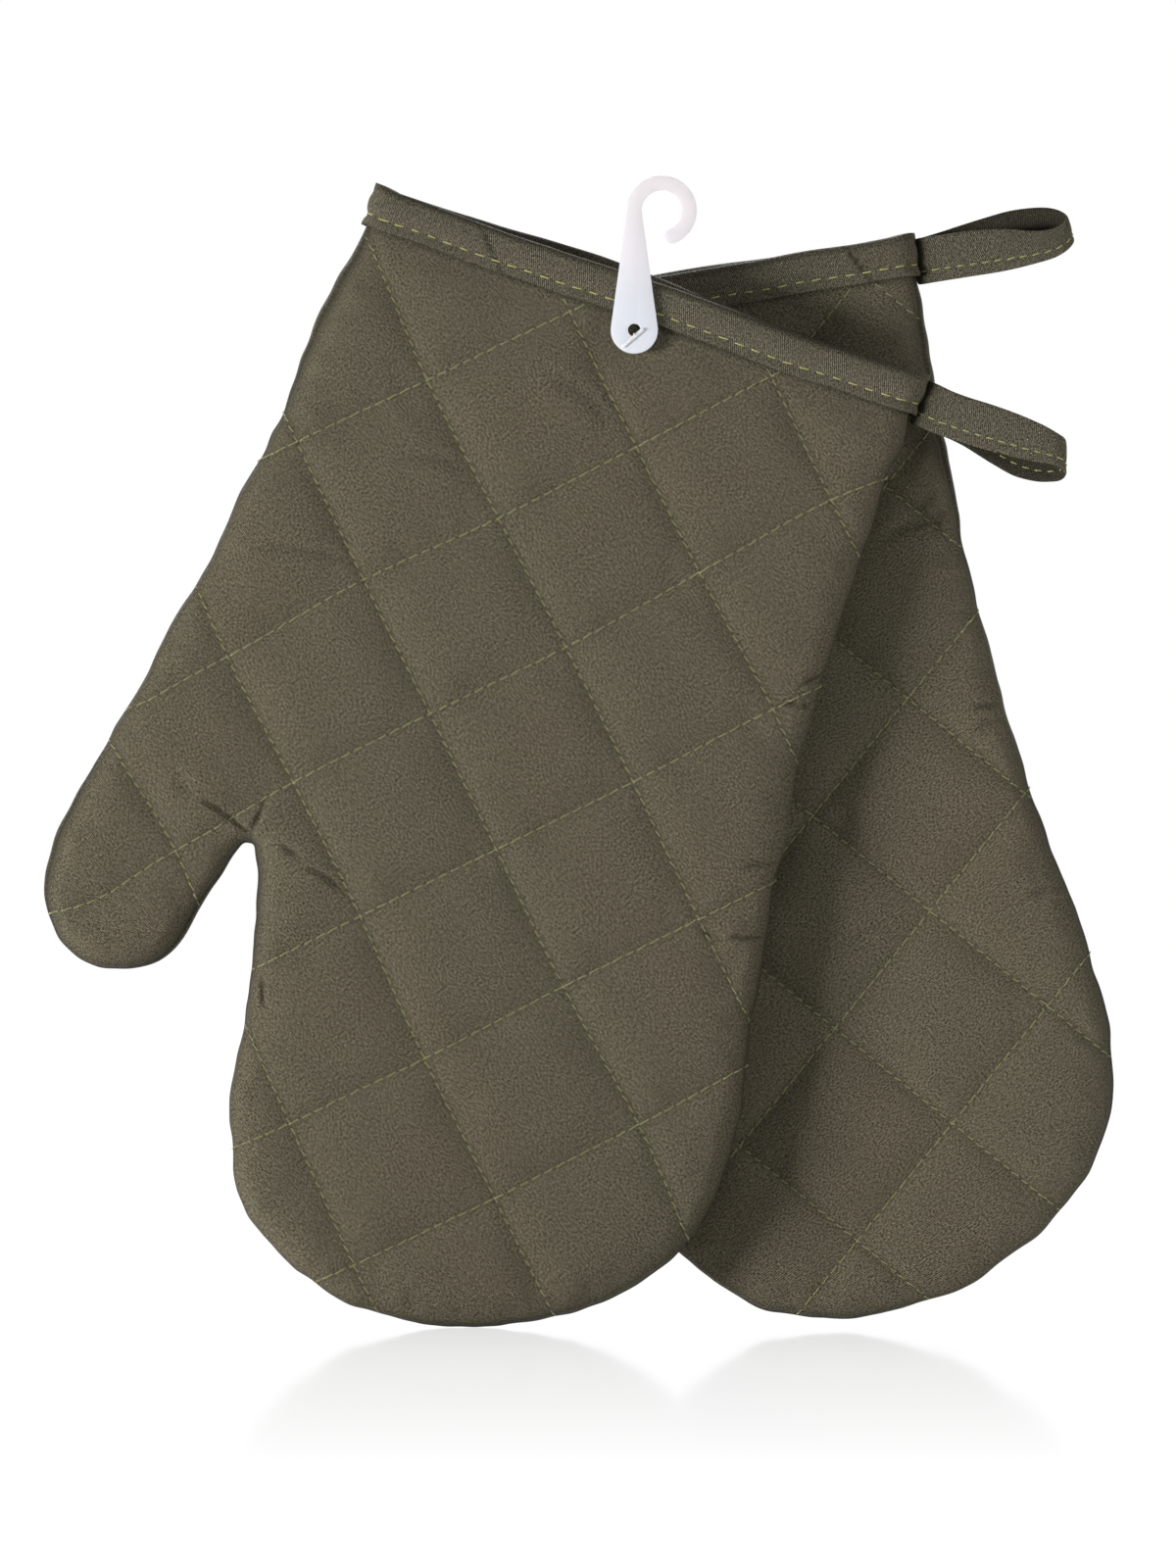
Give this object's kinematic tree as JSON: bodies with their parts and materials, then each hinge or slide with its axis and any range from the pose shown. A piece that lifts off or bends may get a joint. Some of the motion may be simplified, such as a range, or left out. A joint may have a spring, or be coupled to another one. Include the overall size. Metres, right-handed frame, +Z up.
{
  "type": "pair of oven mitts",
  "caption": "Quilted thumb mitts with bound cuffs and tape hanging loops, hanging fanned out from a plastic display hook on a tag pin.",
  "frame": {"origin": "top of the inside of the hook's eye, in the middle of the hook's thickness, where a rail carries the pair", "axes": "+Z up, +X right seen from the front, the pair faces -Y"},
  "size_m": [0.2936, 0.0399, 0.3167],
  "materials": {
    "outer_cloth": "satin weave",
    "binding_tape": "satin weave",
    "lining_cloth": "matt",
    "wadding": "fluffy",
    "hook_plastic": "milky",
    "clear_nylon": "clear"
  },
  "bodies": {
    "hook": {"display_hook": "hook_plastic"},
    "tag_pin": {"tag_pin": "clear_nylon"},
    "front_mitt": {"front_mitt_face_panel": "outer_cloth", "front_mitt_back_panel": "outer_cloth", "front_mitt_face_wadding": "wadding", "front_mitt_back_wadding": "wadding", "front_mitt_face_lining": "lining_cloth", "front_mitt_back_lining": "lining_cloth", "front_mitt_cuff_binding": "binding_tape"},
    "front_loop": {"front_mitt_hanging_loop": "binding_tape"},
    "rear_mitt": {"rear_mitt_face_panel": "outer_cloth", "rear_mitt_back_panel": "outer_cloth", "rear_mitt_face_wadding": "wadding", "rear_mitt_back_wadding": "wadding", "rear_mitt_face_lining": "lining_cloth", "rear_mitt_back_lining": "lining_cloth", "rear_mitt_cuff_binding": "binding_tape"},
    "rear_loop": {"rear_mitt_hanging_loop": "binding_tape"}
  },
  "joints": [
    {"name": "front_mitt_swing", "type": "hinge", "parent": "hook", "child": "front_mitt", "pos_m": [-0.0076, 0.009, -0.03965], "axis": [0, 1, 0], "range_deg": [-65, 50]},
    {"name": "rear_mitt_swing", "type": "hinge", "parent": "hook", "child": "rear_mitt", "pos_m": [-0.0076, 0.0286, -0.03965], "axis": [0, 1, 0], "range_deg": [-36, 75]},
    {"name": "front_loop_fold", "type": "hinge", "parent": "front_mitt", "child": "front_loop", "pos_m": [0.07064, 0.009, -0.06674], "axis": [-0.3272, 0, -0.9449], "range_deg": [0, 100]},
    {"name": "rear_loop_fold", "type": "hinge", "parent": "rear_mitt", "child": "rear_loop", "pos_m": [0.07418, 0.0286, -0.0267], "axis": [-0.1564, 0, 0.9877], "range_deg": [0, 100]},
    {"name": "tag_pin_turn", "type": "hinge", "parent": "hook", "child": "tag_pin", "pos_m": [-0.0076, 0, -0.03965], "axis": [0, 1, 0], "continuous": true}
  ]
}
